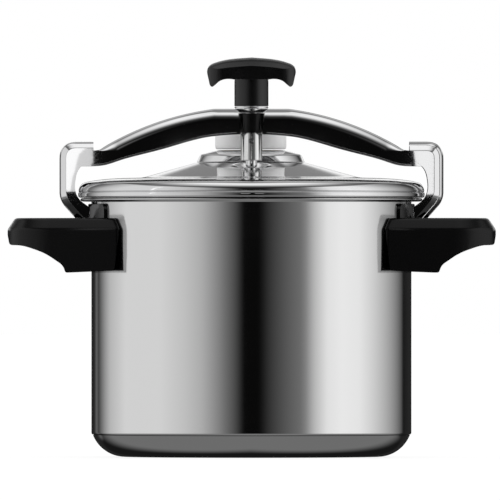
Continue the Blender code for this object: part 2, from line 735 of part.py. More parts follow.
def knob():
    """A T knob: a crowned bar with hooked wings, hollow below, on a round stem."""
    half = [
        (0, KNOB_TOP, 0), (0.0200, 0.2776, 0.03), (0.0298, 0.2738, 0.004), (KNOB_HALF, 0.2700, 0.002),
        (0.0288, 0.2592, 0.0015), (0.0252, 0.2592, 0.0015), (0.0215, 0.2630, 0.003),
        (0.0165, 0.2646, 0.003), (0.0110, 0.2640, 0),
    ]
    corners = half + [(-x, z, r) for x, z, r in reversed(half[1:])]
    bar = slab("knob", rounded(corners, 3), -0.03, 0.03, "bakelite")
    plan = rounded([
        (x * (KNOB_HALF + 0.0002), y * KNOB_DEPTH, 0.0105)
        for x, y in ((-1, -1), (1, -1), (1, 1), (-1, 1))
    ])
    combine(bar, slab("knob_plan", plan, 0.24, 0.29, None, plan=True), "INTERSECT")
    bar = bake(bar, "bakelite")
    merge_flats(bar)
    stem = [
        (0, 0.2700), (0.0100, 0.2700), (STEM_RADIUS, 0.2640), (STEM_RADIUS, STEM_BOTTOM),
        (0, STEM_BOTTOM),
    ]
    combine(bar, turned("knob_stem", stem, None), "UNION")
    for side in (-1, 1):
        low = (min(side * 0.0150, side * 0.0255), -0.0105, 0.2500)
        high = (max(side * 0.0150, side * 0.0255), 0.0105, 0.2705)
        combine(bar, box(f"wing_hollow_{side + 1}", low, high, None))
    bore = SPINDLE_RADIUS + GAP
    combine(bar, rod("knob_bore", (0, 0, 0.2400), (0, 0, 0.2584), bore, None, SMALL_ROUND))
    return bar


def shade():
    """Smooth shading with sharp creases kept."""
    for piece in collection(PARTS).objects:
        if piece.type == "MESH" and not piece.modifiers.get("Turn"):
            piece.data.shade_smooth()
            piece.data.set_sharp_from_angle(angle=math.radians(35))


def build():
    clear_scene()
    pot_body()
    base_core_disc()
    base_cap()
    for word, side in (("left", -1), ("right", 1)):
        mount_plate(f"{word}_mount_plate", side)
        hook(f"{word}_hook", side)
        handle(f"{word}_handle", side)
        handle_screw(f"{word}_handle_screw", side)
        handle_washer(f"{word}_handle_washer", side)
    weight = [weight_core(), weight_cover()]
    spin = pivot("valve_spin", (0, VALVE_Y, 0.229), weight)
    lift = pivot("valve_lift", (0, VALVE_Y, 0.2263), [valve_needle(), spin])
    lid = [
        lid_shell(), lid_gasket(), valve_hub(), valve_stem(), valve_seal(), valve_nut(),
        valve_strainer(), lift,
    ]
    pivot("lid_vent", (0, 0, RIM_TOP), lid)
    pivot("yoke_drop", (0, 0, YOKE_TOP), [yoke_channel(), yoke_tube(), tube_shroud()])
    press = pivot("plunger_press", (0, 0, SEAT_Z), [plunger(), plunger_spring()])
    screw = [spindle(), retaining_pin(), knob_washer(), knob(), press]
    pivot("knob_turn", (0, 0, STEM_BOTTOM), screw)
    shade()


build()
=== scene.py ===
"""The looks of the pressure canner: fine meshes, steel and moulding finishes, studio and camera."""

import math

import bmesh
import bpy
from mathutils import Matrix, Vector


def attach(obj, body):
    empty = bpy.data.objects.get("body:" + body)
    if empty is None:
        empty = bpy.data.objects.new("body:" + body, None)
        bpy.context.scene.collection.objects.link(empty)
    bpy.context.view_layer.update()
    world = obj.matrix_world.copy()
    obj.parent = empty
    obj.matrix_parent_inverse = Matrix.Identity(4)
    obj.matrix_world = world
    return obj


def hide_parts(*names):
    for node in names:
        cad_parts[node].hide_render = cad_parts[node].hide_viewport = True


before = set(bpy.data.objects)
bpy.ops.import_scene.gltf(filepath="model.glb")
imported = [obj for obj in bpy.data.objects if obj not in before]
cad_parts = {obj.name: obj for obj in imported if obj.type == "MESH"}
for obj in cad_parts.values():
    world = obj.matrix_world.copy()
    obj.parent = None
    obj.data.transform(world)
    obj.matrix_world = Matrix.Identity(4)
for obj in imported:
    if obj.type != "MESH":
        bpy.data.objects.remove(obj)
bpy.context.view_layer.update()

# ---- sizes, metres: the CAD model's own, repeated for the fine meshes ----
FINE = 192  # facets round a large turned piece
MEDIUM = 96
POT_RADIUS = 0.112
WALL = 0.0012
CORNER = 0.024
CAP_TOP = 0.0153
WALL_FOOT = 0.0172  # the wall is straight down to here
RIM_BOTTOM = 0.1786
RIM_TOP = 0.1810
LID_RADIUS = 0.1213
LID_SHEET = 0.0013
SEAT_Z = 0.2014
SEAT_RADIUS = 0.0085
SEAT_RIM = 0.0140
PLATEAU_Z = 0.2063
VALVE_Y = 0.0515
YOKE_HALF_WIDTH = 0.011
YOKE_SHEET = 0.0025
YOKE_TOP = 0.2435
YOKE_ARC = 0.203
YOKE_FLAT = 0.026
YOKE_BEND = 0.0090
YOKE_TOE = 0.1075
HOOK_X = 0.1343
HOOK_TOP = 0.2205
HOOK_HALF_WIDTH = 0.015
HOOK_SHEET = 0.0025
PLATE_OUTER = 0.1143
HANDLE_TIP = 0.1706
HANDLE_TOP = 0.167
HANDLE_SHOULDER = 0.159
HANDLE_LIP = 0.0922
HANDLE_HALF_DEPTH = 0.0657
HANDLE_BOTTOM = 0.1288
KNOB_HALF = 0.0313
KNOB_TOP = 0.2795
KNOB_DEPTH = 0.0145
STEM_RADIUS = 0.0119
STEM_BOTTOM = 0.2453


# ---- materials ----


def node(tree, kind, **values):
    made = tree.nodes.new(kind)
    for key, value in values.items():
        if key in made.inputs:
            made.inputs[key].default_value = value
        else:
            setattr(made, key, value)
    return made


def link(tree, source, target):
    tree.links.new(source, target)


def math_node(tree, operation, first, second=None):
    made = node(tree, "ShaderNodeMath", operation=operation)
    for slot, value in enumerate((first, second)):
        if value is None:
            continue
        if isinstance(value, (int, float)):
            made.inputs[slot].default_value = value
        else:
            link(tree, value, made.inputs[slot])
    return made.outputs[0]


def new_material(name, colour, metallic, roughness):
    made = bpy.data.materials.new(name)
    made.use_nodes = True
    shader = made.node_tree.nodes["Principled BSDF"]
    shader.inputs["Base Color"].default_value = (*colour, 1)
    shader.inputs["Metallic"].default_value = metallic
    shader.inputs["Roughness"].default_value = roughness
    return made, made.node_tree, shader


def turned_lines(tree, centre_y, around, along):
    """Noise drawn out into lines that run round a vertical axis."""
    place = node(tree, "ShaderNodeTexCoord").outputs["Object"]
    parts = node(tree, "ShaderNodeSeparateXYZ")
    link(tree, place, parts.inputs[0])
    y = math_node(tree, "SUBTRACT", parts.outputs["Y"], centre_y)
    angle = math_node(tree, "ARCTAN2", y, parts.outputs["X"])
    radius = math_node(tree, "SQRT", math_node(
        tree, "ADD", math_node(tree, "MULTIPLY", y, y),
        math_node(tree, "MULTIPLY", parts.outputs["X"], parts.outputs["X"]),
    ))
    joined = node(tree, "ShaderNodeCombineXYZ")
    link(tree, math_node(tree, "MULTIPLY", angle, around), joined.inputs["X"])
    link(tree, math_node(tree, "MULTIPLY", parts.outputs["Z"], along), joined.inputs["Y"])
    link(tree, math_node(tree, "MULTIPLY", radius, along), joined.inputs["Z"])
    noise = node(tree, "ShaderNodeTexNoise", Scale=1.0, Detail=3.0, Roughness=0.6)
    link(tree, joined.outputs[0], noise.inputs["Vector"])
    return noise.outputs["Fac"]


def spread(tree, source, low, high):
    made = node(tree, "ShaderNodeMapRange")
    made.inputs["From Min"].default_value = 0.3
    made.inputs["From Max"].default_value = 0.7
    made.inputs["To Min"].default_value = low
    made.inputs["To Max"].default_value = high
    link(tree, source, made.inputs["Value"])
    return made.outputs[0]


def bump(tree, shader, height, strength, distance):
    made = node(tree, "ShaderNodeBump", Strength=strength, Distance=distance)
    link(tree, height, made.inputs["Height"])
    link(tree, made.outputs[0], shader.inputs["Normal"])


def mottle(tree, scale, detail=4.0):
    place = node(tree, "ShaderNodeTexCoord").outputs["Object"]
    noise = node(tree, "ShaderNodeTexNoise", Scale=scale, Detail=detail, Roughness=0.55)
    link(tree, place, noise.inputs["Vector"])
    return noise.outputs["Fac"]


def steel(name, colour, low, high, lines=None, centre_y=0.0, depth=0.000004, metallic=1.0):
    """Stainless steel: turned or brushed lines, faint handling marks, and its range of roughness."""
    made, tree, shader = new_material(name, colour, metallic, (low + high) / 2)
    marks = mottle(tree, 28.0)
    if lines is None:
        grain = mottle(tree, 900.0, 2.0)
    else:
        grain = turned_lines(tree, centre_y, *lines)
    mixed = math_node(tree, "ADD", math_node(tree, "MULTIPLY", grain, 0.6), math_node(tree, "MULTIPLY", marks, 0.4))
    link(tree, spread(tree, mixed, low, high), shader.inputs["Roughness"])
    bump(tree, shader, grain, 0.25, depth)
    return made


def moulding(name, specular, low, high):
    """Black thermoset: a satin skin with a fine flow texture and slight unevenness."""
    made, tree, shader = new_material(name, (0.0018, 0.0018, 0.0019), 0.0, (low + high) / 2)
    shader.inputs["Specular IOR Level"].default_value = specular
    link(tree, spread(tree, mottle(tree, 60.0), low, high), shader.inputs["Roughness"])
    bump(tree, shader, mottle(tree, 1600.0, 2.0), 0.12, 0.00002)
    return made


def rubber(name):
    made, tree, shader = new_material(name, (0.035, 0.035, 0.036), 0.0, 0.7)
    link(tree, spread(tree, mottle(tree, 90.0), 0.6, 0.85), shader.inputs["Roughness"])
    bump(tree, shader, mottle(tree, 1200.0, 2.0), 0.3, 0.00003)
    return made


BODY = steel("body_steel", (0.84, 0.84, 0.84), 0.06, 0.10, (2.5, 3800.0), 0.0, 0.000002)
BASE = steel("base_steel", (0.74, 0.74, 0.74), 0.03, 0.09, (1.5, 1400.0), 0.0, 0.000001)
LID = steel("lid_steel", (0.84, 0.84, 0.845), 0.05, 0.11, (1.5, 1600.0), 0.0, 0.000002)
HUB = steel("hub_steel", (0.84, 0.84, 0.845), 0.04, 0.09, (1.5, 1600.0), VALVE_Y, 0.000002)
POLISH = steel("polished_steel", (0.84, 0.84, 0.845), 0.03, 0.08)
# painted shade: the mount plates are the same steel as the body, darkened to near black for the shade and dark
# reflections under hook and handle
PLATE_PAINTED_SHADE = steel("plate_steel_painted_shade", (0.12, 0.12, 0.12), 0.12, 0.20)
TUBE = steel("tube_steel", (0.84, 0.84, 0.84), 0.10, 0.16, (2.0, 2600.0))
# painted sheen: the steel weight cover gets a near-white, non-metal colour that stands in for its bright reflections
WEIGHT_PAINTED_SHEEN = steel("weight_painted_sheen", (0.98, 0.98, 0.98), 0.40, 0.50, (2.0, 2200.0), VALVE_Y, 0.000002, metallic=0.0)
SMALL_STEEL = steel("machined_steel", (0.58, 0.58, 0.59), 0.18, 0.32, (2.0, 2600.0))
DISC = steel("disc_aluminium", (0.78, 0.79, 0.80), 0.35, 0.5, (2.0, 1800.0))
BRASS = steel("machined_brass", (0.72, 0.58, 0.32), 0.16, 0.3, (2.0, 2600.0), VALVE_Y)
BLACK = moulding("black_moulding", 0.24, 0.16, 0.23)
KNOB = moulding("knob_moulding", 0.52, 0.20, 0.28)
RUBBER = rubber("seal_rubber")


# ---- shapes ----


def softened(points, steps=5, closed=False):
    """A line through points (coordinates..., reach), each corner eased over its reach."""
    line = []
    count = len(points)
    for i, (*here, reach) in enumerate(points):
        here = Vector(here)
        inner = closed or 0 < i < count - 1
        if reach == 0 or not inner:
            line.append(tuple(here))
            continue
        back = Vector(points[i - 1][:-1]) - here
        ahead = Vector(points[(i + 1) % count][:-1]) - here
        first = here + back.normalized() * min(reach, back.length * 0.499)
        last = here + ahead.normalized() * min(reach, ahead.length * 0.499)
        for step in range(steps + 1):
            t = step / steps
            line.append(tuple(first * (1 - t) ** 2 + here * 2 * t * (1 - t) + last * t ** 2))
    return line


def finish_piece(name, mesh, finish, body, replaced, sharp=50):
    mesh.materials.clear()
    mesh.materials.append(finish)
    mesh.shade_smooth()
    mesh.set_sharp_from_angle(angle=math.radians(sharp))
    piece = bpy.data.objects.new(name, mesh)
    bpy.context.scene.collection.objects.link(piece)
    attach(piece, body)
    if replaced:
        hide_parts(*replaced)
    return piece


def lathe_mesh(name, profile, facets, centre=(0, 0), ring=False, setback=None):
    """A profile of (radius, z) turned about Z, down its outer side; setback moves rings back."""
    bm = bmesh.new()
    rings = []
    for i, (radius, z) in enumerate(profile):
        back = centre[1] + (setback[i] if setback else 0)
        if radius < 1e-7:
            rings.append([bm.verts.new((centre[0], back, z))])
            continue
        rings.append([
            bm.verts.new((
                centre[0] + radius * math.cos(2 * math.pi * k / facets),
                back + radius * math.sin(2 * math.pi * k / facets), z,
            ))
            for k in range(facets)
        ])
    pairs = list(zip(rings, rings[1:]))
    if ring:
        pairs.append((rings[-1], rings[0]))
    for upper, lower in pairs:
        for k in range(facets):
            nxt = (k + 1) % facets
            corners = [upper[k % len(upper)], lower[k % len(lower)], lower[nxt % len(lower)], upper[nxt % len(upper)]]
            corners = list(dict.fromkeys(corners))
            if len(corners) > 2:
                bm.faces.new(corners)
    mesh = bpy.data.meshes.new(name)
    bm.to_mesh(mesh)
    bm.free()
    return mesh


def helper(name, mesh):
    """An object that only cuts or joins others, and is removed afterwards."""
    piece = bpy.data.objects.new(name, mesh)
    bpy.context.scene.collection.objects.link(piece)
    return piece


def prism(name, outline, low, high, plan=False, side=1):
    """An outline given thickness: XZ from y=low to high, or XY (plan) from z=low to high."""
    bm = bmesh.new()
    if plan:
        verts = [bm.verts.new((side * x, v, low)) for x, v in outline]
        push = Vector((0, 0, high - low))
    else:
        verts = [bm.verts.new((side * x, low, v)) for x, v in outline]
        push = Vector((0, high - low, 0))
    face = bm.faces.new(verts)
    moved = bmesh.ops.extrude_face_region(bm, geom=[face])
    bmesh.ops.translate(bm, vec=push, verts=[v for v in moved["geom"] if isinstance(v, bmesh.types.BMVert)])
    bmesh.ops.recalc_face_normals(bm, faces=bm.faces)
    mesh = bpy.data.meshes.new(name)
    bm.to_mesh(mesh)
    bm.free()
    return helper(name, mesh)


def round_edges(piece, radius, where=None, segments=5):
    bm = bmesh.new()
    bm.from_mesh(piece.data)
    bm.normal_update()
    edges = [e for e in bm.edges if e.calc_face_angle(0) > 0.6 and (where is None or where(e))]
    bmesh.ops.bevel(
        bm, geom=edges, offset=radius, segments=segments, profile=0.5, affect="EDGES", clamp_overlap=True,
    )
    bm.to_mesh(piece.data)
    bm.free()


def combined(piece, steps, weld=0.000002):
    """The piece's mesh after Boolean steps of (operation, helper); the helpers are removed."""
    for operation, other in steps:
        cut = piece.modifiers.new(other.name, "BOOLEAN")
        cut.operation = operation
        cut.object = other
        cut.solver = "EXACT"
    bpy.context.view_layer.update()
    depsgraph = bpy.context.evaluated_depsgraph_get()
    mesh = bpy.data.meshes.new_from_object(piece.evaluated_get(depsgraph))
    for _, other in steps:
        bpy.data.objects.remove(other, do_unlink=True)
    bpy.data.objects.remove(piece, do_unlink=True)
    bm = bmesh.new()
    bm.from_mesh(mesh)
    bmesh.ops.remove_doubles(bm, verts=bm.verts, dist=weld)
    bm.to_mesh(mesh)
    bm.free()
    return mesh


def even_normals(piece):
    """Flat faces keep flat reflections beside their rounded edges."""
    piece.modifiers.new("Even", "WEIGHTED_NORMAL").keep_sharp = True


def rod(name, start, end, radius, facets=32):
    start, end = Vector(start), Vector(end)
    bm = bmesh.new()
    turn = (end - start).to_track_quat("Z", "Y").to_matrix().to_4x4()
    bmesh.ops.create_cone(
        bm, cap_ends=True, segments=facets, radius1=radius, radius2=radius,
        depth=(end - start).length, matrix=Matrix.Translation((start + end) / 2) @ turn,
    )
    mesh = bpy.data.meshes.new(name)
    bm.to_mesh(mesh)
    bm.free()
    return helper(name, mesh)


def tube_along(name, points, radius, sides=12):
    """A round bead that follows points, with closed ends."""
    curve = bpy.data.curves.new(name, "CURVE")
    curve.dimensions = "3D"
    curve.bevel_depth = radius
    curve.bevel_resolution = sides // 4
    curve.use_fill_caps = True
    spline = curve.splines.new("POLY")
    spline.points.add(len(points) - 1)
    for point, place in zip(spline.points, points):
        point.co = (*place, 1)
    return combined(helper(name, curve), [])


# ---- pot ----


def arc(centre, radius, first, last, steps):
    angles = [math.radians(first + (last - first) * i / steps) for i in range(steps + 1)]
    return [(centre[0] + radius * math.cos(a), centre[1] + radius * math.sin(a)) for a in angles]


def pot_body():
    centre = (POT_RADIUS - CORNER, CORNER)
    inside = softened([
        (0, 0.0069, 0), (0.1000, 0.0069, 0.006), (0.1073, 0.0143, 0.004), (POT_RADIUS - WALL, 0.0240, 0.006),
        (POT_RADIUS - WALL, RIM_BOTTOM, 0.002), (0.1130, RIM_TOP, 0.001), (0.1192, RIM_TOP, 0.0009),
        (0.1199, RIM_BOTTOM + 0.0012, 0.0009), (0.1186, RIM_BOTTOM, 0.0010), (POT_RADIUS, RIM_BOTTOM, 0.0006),
        (POT_RADIUS, WALL_FOOT, 0),
    ])
    corner = arc((POT_RADIUS - 0.0022, WALL_FOOT), 0.0022, 0, -42, 6)[1:]
    under = [(0.1090, CAP_TOP + 0.0004), *arc(centre, CORNER - 0.0014, -30, -44, 3), (0.0970, 0.0057), (0, 0.0057)]
    wall = [(POT_RADIUS, RIM_BOTTOM - 0.02 - 0.013 * k) for k in range(10)]
    profile = [*inside[:-1], *wall, inside[-1], *corner, *under]
    mesh = lathe_mesh("pot_body_fine", profile, FINE)
    finish_piece("pot_body_fine", mesh, BODY, "pot", ["pot_body"])


def base_cap():
    sheet = 0.0009
    centre = (POT_RADIUS - CORNER + 0.0006, CORNER)
    start = -math.degrees(math.asin((CORNER - CAP_TOP) / CORNER))
    inside = arc(centre, CORNER - sheet, start, -90, 14)
    outside = arc(centre, CORNER, start, -90, 24)
    profile = [(0, sheet), *reversed(inside), *outside, (0, 0)]
    mesh = lathe_mesh("base_cap_fine", profile, FINE)
    finish_piece("base_cap_fine", mesh, BASE, "pot", ["base_cap"])


def mount_plate(word, side):
    """A curved plate with eased corners, welded to the wall under the rim."""
    inner, low, high = POT_RADIUS + 0.0003, 0.134, 0.177
    ring = softened([
        (inner, high, 0.0005), (PLATE_OUTER, high, 0.0009), (PLATE_OUTER, low, 0.0009), (inner, low, 0.0005),
    ], 3, True)
    plate = helper("plate", lathe_mesh("plate", ring, FINE, ring=True))
    half = 0.0487
    outline = softened([(-half, low - 0.001, 0.006), (half, low - 0.001, 0.006), (half, high + 0.0005, 0.006),
                        (-half, high + 0.0005, 0.006)], 6, True)
    bm = bmesh.new()
    face = bm.faces.new([bm.verts.new((side * 0.09, y, z)) for y, z in outline])
    moved = bmesh.ops.extrude_face_region(bm, geom=[face])
    verts = [v for v in moved["geom"] if isinstance(v, bmesh.types.BMVert)]
    bmesh.ops.translate(bm, vec=(side * 0.05, 0, 0), verts=verts)
    bmesh.ops.recalc_face_normals(bm, faces=bm.faces)
    span = bpy.data.meshes.new("span")
    bm.to_mesh(span)
    bm.free()
    mesh = combined(plate, [("INTERSECT", helper("span", span))])
    # the plate's finish carries painted shade: the body's steel darkened to near black
    finish_piece(f"{word}_mount_plate_fine", mesh, PLATE_PAINTED_SHADE, "pot", [f"{word}_mount_plate"], 30)


def hook_side(inset):
    top, outer = HOOK_TOP - inset, HOOK_X - inset
    return [(0.1106, top, 0), (outer, top, 0.0120 - inset), (outer, 0.1795 + inset * 0.38, 0.006)]


def hook_outline(inset):
    """A hook from the side: its outer edge drawn in by the inset, its inner edge as it is."""
    return softened([
        *hook_side(inset), (0.1172 - inset * 0.52, 0.1602 + inset * 0.92, 0.003),
        (0.1172, 0.1405, 0), (0.1250, 0.1405, 0), (0.1250, 0.1380, 0),
        (0.1120, 0.1380, 0), (0.1120, 0.1680, 0), (0.1102, 0.1723, 0), (0.1214, 0.1803, 0.005),
        (0.1240, 0.1880, 0.005), (0.1222, 0.2000, 0.005), (0.1176, 0.2050, 0.003), (0.1106, 0.2084, 0),
    ], 10, True)


def hook_block(side, fold):
    """The outlines in order across the hook: the flange, its broad fold, and the web between the folds."""
    half = softened([
        (fold, 0, 0), (fold * 0.94, 0.00005, fold * 0.22), (fold * 0.16, fold * 0.60, fold * 0.30), (0, 0.0085, 0),
    ], 6)
    half = [(inset, y - HOOK_HALF_WIDTH) for inset, y in half]
    levels = half + [(inset, -y) for inset, y in reversed(half)]
    bm = bmesh.new()
    rings = [[bm.verts.new((side * x, y, z)) for x, z in hook_outline(inset)] for inset, y in levels]
    bm.faces.new(rings[0])
    bm.faces.new(rings[-1])
    for before, after in zip(rings, rings[1:]):
        for k in range(len(before)):
            bm.faces.new([before[k - 1], before[k], after[k], after[k - 1]])
    bmesh.ops.recalc_face_normals(bm, faces=bm.faces)
    bmesh.ops.triangulate(bm, faces=[f for f in bm.faces if len(f.verts) == 4])
    mesh = bpy.data.meshes.new("hook")
    bm.to_mesh(mesh)
    bm.free()
    return helper("hook", mesh)


def hook(word, side, fold):
    piece = hook_block(side, fold)
    hollow = softened([
        (0.0950, HOOK_TOP - HOOK_SHEET, 0), *hook_side(HOOK_SHEET)[1:], (0.1159, 0.1625, 0), (0.0950, 0.1625, 0),
    ], 8, True)
    inside = HOOK_HALF_WIDTH - HOOK_SHEET
    wall = [(0, 0.1773), (PLATE_OUTER + 0.0003, 0.1773), (PLATE_OUTER + 0.0003, 0.1300), (0, 0.1300)]
    mesh = combined(piece, [
        ("DIFFERENCE", prism("hollow", hollow, -inside, inside, side=side)),
        ("DIFFERENCE", helper("wall", lathe_mesh("wall", wall, FINE))),
        ("DIFFERENCE", rod("thread", (side * 0.1213, 0, 0.130), (side * 0.1213, 0, 0.150), 0.0027)),
    ])
    made = finish_piece(f"{word}_hook_fine", mesh, POLISH, "pot", [f"{word}_hook"], 34)
    even_normals(made)


def handle_plan(inset, lip_inset):
    """A handle seen from above: saddle ends at the pot, sides that narrow to the rounded tip."""
    lip, tip, half = HANDLE_LIP + lip_inset, HANDLE_TIP - inset, HANDLE_HALF_DEPTH - inset
    front = [(lip, -half, 0.0032), (tip, 0.012 - half, 0.030 - inset)]
    return softened(front + [(x, -y, reach) for x, y, reach in reversed(front)], 12, True)


def handle_block(side):
    """Upright sides, an eased shoulder, sides that slope in, and an eased edge to the level top."""
    slope = [(0, 0.12, 0), (0, HANDLE_SHOULDER, 0.0016), (0.0053, HANDLE_TOP, 0.0020), (0.0100, HANDLE_TOP, 0)]
    bm = bmesh.new()
    rings = []
    for inset, z in softened(slope, 5):
        plan = handle_plan(inset, inset * 0.54)
        rings.append([bm.verts.new((side * x, y, z)) for x, y in plan])
    bm.faces.new(rings[0])
    bm.faces.new(rings[-1])
    for below, above in zip(rings, rings[1:]):
        for k in range(len(below)):
            bm.faces.new([below[k - 1], below[k], above[k], above[k - 1]])
    bmesh.ops.recalc_face_normals(bm, faces=bm.faces)
    mesh = bpy.data.meshes.new("handle")
    bm.to_mesh(mesh)
    bm.free()
    return helper("handle", mesh)


def handle(word, side):
    """A solid side handle: level top, sloping shoulders, swept underside, saddle that hugs the wall."""
    outline = softened([
        (0.0962, 0.1302, 0.002), (0.0926, HANDLE_SHOULDER, 0), (0.0926, 0.18, 0), (0.18, 0.18, 0), (0.18, 0.1580, 0),
        (0.1711, 0.1580, 0), (0.1693, 0.1482, 0.002), (0.1600, 0.1480, 0.006), (0.1446, 0.1426, 0.006),
        (0.1320, 0.1340, 0.003), (0.1302, HANDLE_BOTTOM, 0.0014),
    ], 8, True)
    mesh = combined(handle_block(side), [("INTERSECT", prism("side", outline, -0.08, 0.08, side=side))])
    piece = helper("handle", mesh)
    bm = bmesh.new()
    bm.from_mesh(mesh)
    bmesh.ops.dissolve_limit(bm, angle_limit=0.002, verts=bm.verts, edges=bm.edges)
    bm.to_mesh(mesh)
    bm.free()

    def underside(edge):
        return all(v.co.z < HANDLE_SHOULDER - 0.001 and abs(v.co.x) > 0.0955 for v in edge.verts)

    round_edges(piece, 0.0014, underside, 3)
    saddle = [(0, 0.2), (POT_RADIUS + 0.0004, 0.2), (POT_RADIUS + 0.0004, 0.1), (0, 0.1)]
    recess = [(0.100, 0.2), (PLATE_OUTER + 0.0003, 0.2), (PLATE_OUTER + 0.0003, 0.1335), (0.100, 0.1335)]
    ring = helper("recess", lathe_mesh("recess", recess, FINE, ring=True))
    corners = [(0.09, -0.0492), (0.13, -0.0492), (0.13, 0.0492), (0.09, 0.0492)]
    recess_mesh = combined(ring, [("INTERSECT", prism("recess_span", corners, 0.10, 0.21, True, side))])
    pocket = [(0.100, -0.0155), (0.1262, -0.0155), (0.1262, 0.0155), (0.100, 0.0155)]
    x = side * 0.1213
    mesh = combined(piece, [
        ("DIFFERENCE", helper("saddle", lathe_mesh("saddle", saddle, FINE))),
        ("DIFFERENCE", helper("recess", recess_mesh)),
        ("DIFFERENCE", prism("pocket", pocket, 0.1365, 0.175, True, side)),
        ("DIFFERENCE", rod("bore", (x, 0, 0.125), (x, 0, 0.140), 0.0028)),
        ("DIFFERENCE", rod("counterbore", (x, 0, 0.120), (x, 0, 0.1330), 0.0054)),
    ])
    made = finish_piece(f"{word}_handle_fine", mesh, BLACK, "pot", [f"{word}_handle"], 40)
    even_normals(made)


# ---- lid ----


def seat_height(x, y, z):
    t = (math.hypot(x, y) - SEAT_RADIUS) / (SEAT_RIM - SEAT_RADIUS)
    t = min(max(t, 0), 1)
    t = t * t * (3 - 2 * t)
    return SEAT_Z + (z - SEAT_Z) * t


def lid_shell():
    """Rings of (radius, height, setback): an eccentric cone over the rim, with the thrust pocket."""
    slope = [(0.0760, 0.1954, 0.0195), (0.0375, PLATEAU_Z, VALVE_Y)]
    rings = softened([
        (0, PLATEAU_Z, VALVE_Y, 0), (*slope[1], 0.002), (*slope[0], 0.004), (0.0906, 0.1950, 0.006, 0.004),
        (0.1016, 0.1944, 0, 0.004), (0.1120, 0.1931, 0, 0.004), (0.1183, 0.1916, 0, 0.0016),
        (0.1205, 0.1885, 0, 0.0016), (0.1211, 0.1858, 0, 0.0006), (0.1206, 0.1853, 0, 0.0002),
        (0.1211, 0.1848, 0, 0.0003), (LID_RADIUS, 0.1838, 0, 0.0005), (0.1211, 0.1818, 0, 0.0005),
        (0.1199, 0.1813, 0, 0),
    ], 6)
    dense = []
    for here, there in zip(rings, rings[1:]):
        here, there = Vector(here), Vector(there)
        pieces = max(1, round((there - here).length / 0.0016)) if here.x < 0.0765 else 1
        dense += [here.lerp(there, k / pieces) for k in range(pieces)]
    dense.append(Vector(rings[-1]))
    profile = [(v.x, v.y) for v in dense]
    mesh = lathe_mesh("lid", profile, FINE, setback=[v.z for v in dense])
    for vert in mesh.vertices:
        vert.co.z = seat_height(*vert.co)
    piece = helper("lid", mesh)
    sheet = piece.modifiers.new("Sheet", "SOLIDIFY")
    sheet.thickness = LID_SHEET
    sheet.offset = -1
    sheet.use_even_offset = False
    hole = rod("stem_hole", (0, VALVE_Y, 0.195), (0, VALVE_Y, 0.215), 0.0045)
    mesh = combined(piece, [("DIFFERENCE", hole)])
    finish_piece("lid_shell_fine", mesh, LID, "lid", ["lid_shell"], 42)


def turned_piece(node_name, corners, finish, body, facets=MEDIUM, centre=(0, 0), ring=True, sharp=40):
    profile = softened(corners, 5, ring)
    mesh = lathe_mesh(node_name + "_fine", profile, facets, centre, ring)
    return finish_piece(node_name + "_fine", mesh, finish, body, [node_name], sharp)


def lid_fittings():
    at = (0, VALVE_Y)
    base = PLATEAU_Z + 0.0003
    turned_piece("valve_hub", [
        (0.0045, 0.2149, 0.0002), (0.0235, 0.2149, 0.004), (0.0355, 0.2117, 0.0012), (0.0378, base, 0.0003),
        (0.0362, base, 0), (0.0343, 0.2104, 0.001), (0.0230, 0.2134, 0.003), (0.0045, 0.2134, 0),
    ], HUB, "lid", FINE, at)
    r, sheet = 0.025, 0.0012
    # the weight cover's near-white colour is a painted sheen in place of its steel reflections
    turned_piece("weight_cover", [
        (0, 0.238, 0), (r, 0.238, 0.0036), (r, 0.2156, 0.0030), (0.0225, 0.2156, 0.0003), (0.0225, 0.2168, 0.0003),
        (r - sheet, 0.2170, 0.0018), (r - sheet, 0.238 - sheet, 0.0030), (0, 0.238 - sheet, 0),
    ], WEIGHT_PAINTED_SHEEN, "weight", FINE, at, False)


# ---- yoke ----


def yoke_top(x, inset=0.0):
    sag = YOKE_ARC - math.sqrt(YOKE_ARC ** 2 - x ** 2)
    flat = YOKE_ARC - math.sqrt(YOKE_ARC ** 2 - YOKE_FLAT ** 2)
    return YOKE_TOP - inset - max(sag - flat, 0)


def smooth(points, steps):
    ends = [points[0], *points, points[-1]]
    line = []
    for a, b, c, d in zip(ends, ends[1:], ends[2:], ends[3:]):
        for step in range(steps):
            t = step / steps
            line.append(tuple(
                0.5 * (2 * q + (r - p) * t + (2 * p - 5 * q + 4 * r - s) * t ** 2
                       + (3 * q - p - 3 * r + s) * t ** 3)
                for p, q, r, s in zip(a, b, c, d)
            ))
    return [*line, points[-1]]


YOKE_UNDER = [(0.112, 0.2033), (0.102, 0.2043), (0.087, 0.2090), (0.064, 0.2149), (0.032, 0.2236), (0, 0.2262)]


def crowned(piece, half_width, inset):
    """Rounds a yoke slab's top over to its sides, less and less towards the toes."""
    flat = YOKE_HALF_WIDTH - YOKE_BEND
    reach = half_width - flat
    bm = bmesh.new()
    bm.from_mesh(piece.data)
    for step in range(12):
        across = flat + reach * math.sin(math.radians(7.5 * step))
        for y in (-across, across):
            bmesh.ops.bisect_plane(
                bm, geom=[*bm.verts, *bm.edges, *bm.faces], dist=0.000001, plane_co=(0, y, 0), plane_no=(0, 1, 0),
            )
    for vert in bm.verts:
        x, y = abs(vert.co.x), abs(vert.co.y)
        if x > YOKE_TOE or vert.co.z < yoke_top(x, inset) - 0.001:
            continue
        fade = min((YOKE_TOE - x) / 0.012, 1)
        drop = reach - math.sqrt(max(reach ** 2 - max(y - flat, 0) ** 2, 0))
        vert.co.z -= drop * fade
    bmesh.ops.triangulate(bm, faces=bm.faces)
    bm.to_mesh(piece.data)
    bm.free()


